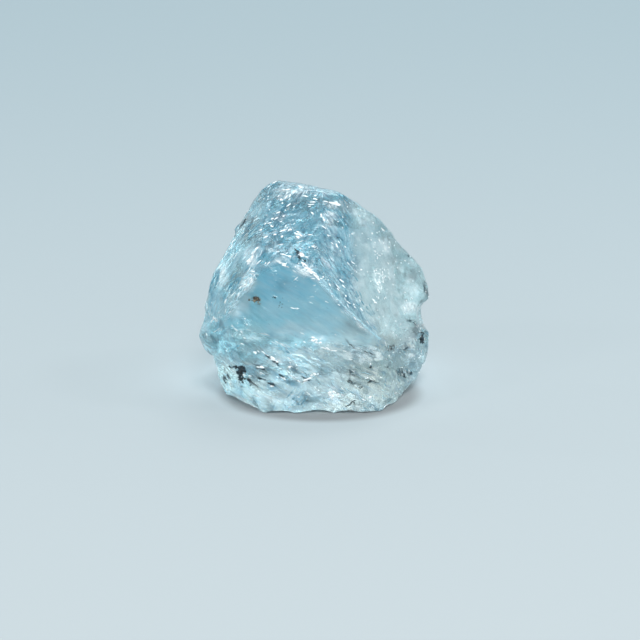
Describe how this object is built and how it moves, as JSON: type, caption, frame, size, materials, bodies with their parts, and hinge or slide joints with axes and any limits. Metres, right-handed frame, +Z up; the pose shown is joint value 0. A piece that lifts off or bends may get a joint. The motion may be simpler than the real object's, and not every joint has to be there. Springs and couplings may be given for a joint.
{
  "type": "aquamarine crystal",
  "caption": "Rough, unpolished aquamarine: a clear pale blue lump of beryl with broken faces, a smooth window on its front and a flat broken base to rest on.",
  "frame": {"origin": "middle of the part's bounding box seen from above, at the height of the flat base", "axes": "+Z is up from the flat base, +X runs to the right across the broad front, and the broad front with the smooth window looks along -Y and tips back by 18 degrees"},
  "size_m": [0.0218, 0.0186, 0.0189],
  "materials": {
    "aquamarine": "clear pale blue beryl with broken, rippled, unpolished faces"
  },
  "bodies": {
    "root": {"aquamarine_crystal": "aquamarine"}
  },
  "joints": []
}
